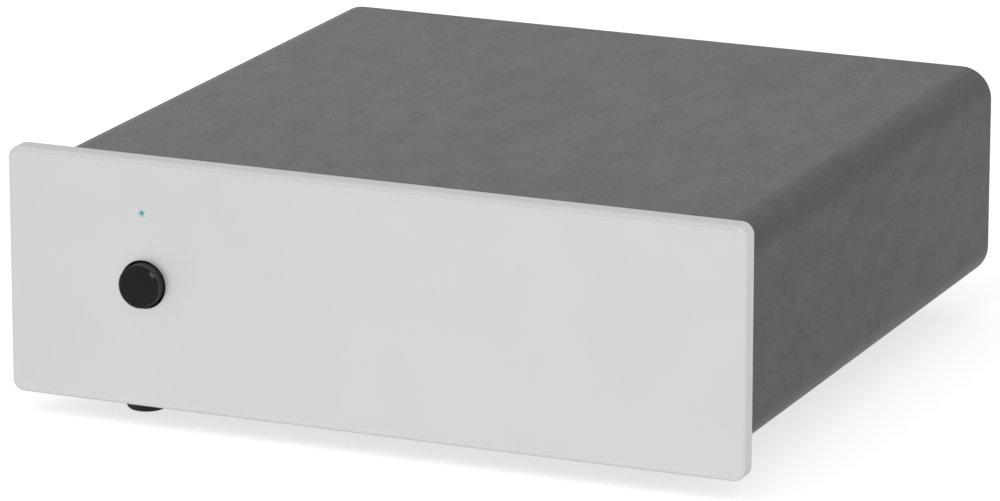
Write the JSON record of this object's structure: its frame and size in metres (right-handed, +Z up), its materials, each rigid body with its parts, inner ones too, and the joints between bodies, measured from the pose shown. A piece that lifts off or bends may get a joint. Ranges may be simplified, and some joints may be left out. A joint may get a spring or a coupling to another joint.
{
  "type": "phono preamplifier",
  "caption": "Small flat audio box: silver front panel with a round black button and a lamp, grey metal sleeve on rubber feet, phono jacks, ground post and power inlet at the rear.",
  "frame": {"origin": "on the standing surface, under the middle of the overall box", "axes": "+X to the right seen from the front, +Y from the front panel to the rear, +Z up"},
  "size_m": [0.103, 0.1086, 0.0364],
  "materials": {
    "panel_aluminium": "fine matte, clear anodised",
    "sleeve_aluminium": "fine-textured grey powder coat",
    "zinc_steel": "bright zinc plate",
    "black_steel": "black satin paint",
    "black_zinc": "black zinc plate",
    "board_laminate": "green solder mask over glass laminate",
    "foot_rubber": "moulded, matte",
    "cap_plastic": "moulded black, semi-gloss",
    "black_plastic": "moulded black, satin",
    "white_plastic": "moulded off-white, satin",
    "red_plastic": "moulded red, satin",
    "switch_red": "moulded red, satin",
    "spring_steel": "bright drawn wire",
    "clear_acrylic": "polished clear acrylic",
    "lamp_epoxy": "clear blue epoxy",
    "tinned_copper": "tinned",
    "gold_brass": "gold-plated brass",
    "nickel_brass": "nickel-plated brass",
    "can_aluminium": "blue-black shrink sleeve over aluminium",
    "film_epoxy": "moulded red box",
    "package_epoxy": "black moulded package",
    "resistor_ceramic": "black glazed chip"
  },
  "bodies": {
    "case": {"front_panel": "panel_aluminium", "front_panel_studs": "zinc_steel", "front_panel_nuts": "zinc_steel", "bulkhead": "zinc_steel", "bulkhead_screws": "zinc_steel", "sleeve": "sleeve_aluminium", "rear_panel": "black_steel", "rear_panel_screws": "black_zinc", "main_board": "board_laminate", "front_right_foot": "foot_rubber", "front_left_foot": "foot_rubber", "rear_right_foot": "foot_rubber", "rear_left_foot": "foot_rubber", "switch_spring": "spring_steel", "switch_body": "black_plastic", "light_pipe": "clear_acrylic", "power_lamp": "lamp_epoxy", "lamp_leads": "tinned_copper", "input_jack_housing": "black_plastic", "output_jack_housing": "black_plastic", "jack_screws": "black_zinc", "input_right_barrel": "gold_brass", "input_left_barrel": "gold_brass", "output_right_barrel": "gold_brass", "output_left_barrel": "gold_brass", "input_right_insulator": "red_plastic", "input_left_insulator": "white_plastic", "output_right_insulator": "red_plastic", "output_left_insulator": "white_plastic", "input_right_contact": "gold_brass", "input_left_contact": "gold_brass", "output_right_contact": "gold_brass", "output_left_contact": "gold_brass", "inlet_body": "black_plastic", "inlet_centre_pin": "nickel_brass", "inlet_side_contact": "tinned_copper", "ground_post": "gold_brass", "ground_lug": "tinned_copper", "ground_lock_nut": "gold_brass", "right_setting_bank": "switch_red", "left_setting_bank": "switch_red", "electrolytic_capacitors": "can_aluminium", "film_capacitors": "film_epoxy", "op_amps": "package_epoxy", "voltage_regulators": "package_epoxy", "chip_resistors": "resistor_ceramic"},
    "power_button": {"button_cap": "cap_plastic", "switch_plunger": "white_plastic"},
    "ground_washer": {"ground_washer": "gold_brass"},
    "ground_thumb_nut": {"ground_thumb_nut": "gold_brass"},
    "right_setting_1": {"right_setting_slider_1": "white_plastic"},
    "right_setting_2": {"right_setting_slider_2": "white_plastic"},
    "right_setting_3": {"right_setting_slider_3": "white_plastic"},
    "right_setting_4": {"right_setting_slider_4": "white_plastic"},
    "left_setting_1": {"left_setting_slider_1": "white_plastic"},
    "left_setting_2": {"left_setting_slider_2": "white_plastic"},
    "left_setting_3": {"left_setting_slider_3": "white_plastic"},
    "left_setting_4": {"left_setting_slider_4": "white_plastic"}
  },
  "joints": [
    {"name": "power_button_press", "type": "slide", "parent": "case", "child": "power_button", "axis": [0, 1, 0], "range_m": [0, 0.0015], "stiffness_N_per_m": 1000, "springref_m": -0.001, "deforming": ["switch_spring"]},
    {"name": "ground_washer_slide", "type": "slide", "parent": "case", "child": "ground_washer", "axis": [0, 1, 0], "range_m": [0, 0.0021]},
    {"name": "ground_thumb_nut_turn", "type": "hinge", "parent": "ground_washer", "child": "ground_thumb_nut", "pos_m": [0.008, 0.04755, 0.01985], "axis": [0, 1, 0], "range_deg": [0, 1080.1]},
    {"name": "right_setting_1_slide", "type": "slide", "parent": "case", "child": "right_setting_1", "axis": [0, 1, 0], "range_m": [-0.0018, 0]},
    {"name": "right_setting_2_slide", "type": "slide", "parent": "case", "child": "right_setting_2", "axis": [0, 1, 0], "range_m": [0, 0.0018]},
    {"name": "right_setting_3_slide", "type": "slide", "parent": "case", "child": "right_setting_3", "axis": [0, 1, 0], "range_m": [0, 0.0018]},
    {"name": "right_setting_4_slide", "type": "slide", "parent": "case", "child": "right_setting_4", "axis": [0, 1, 0], "range_m": [-0.0018, 0]},
    {"name": "left_setting_1_slide", "type": "slide", "parent": "case", "child": "left_setting_1", "axis": [0, 1, 0], "range_m": [-0.0018, 0]},
    {"name": "left_setting_2_slide", "type": "slide", "parent": "case", "child": "left_setting_2", "axis": [0, 1, 0], "range_m": [0, 0.0018]},
    {"name": "left_setting_3_slide", "type": "slide", "parent": "case", "child": "left_setting_3", "axis": [0, 1, 0], "range_m": [0, 0.0018]},
    {"name": "left_setting_4_slide", "type": "slide", "parent": "case", "child": "left_setting_4", "axis": [0, 1, 0], "range_m": [-0.0018, 0]}
  ],
  "couplings": [
    {"joint": "ground_thumb_nut_turn", "follows": "ground_washer_slide", "rad_per_m": 8976}
  ]
}
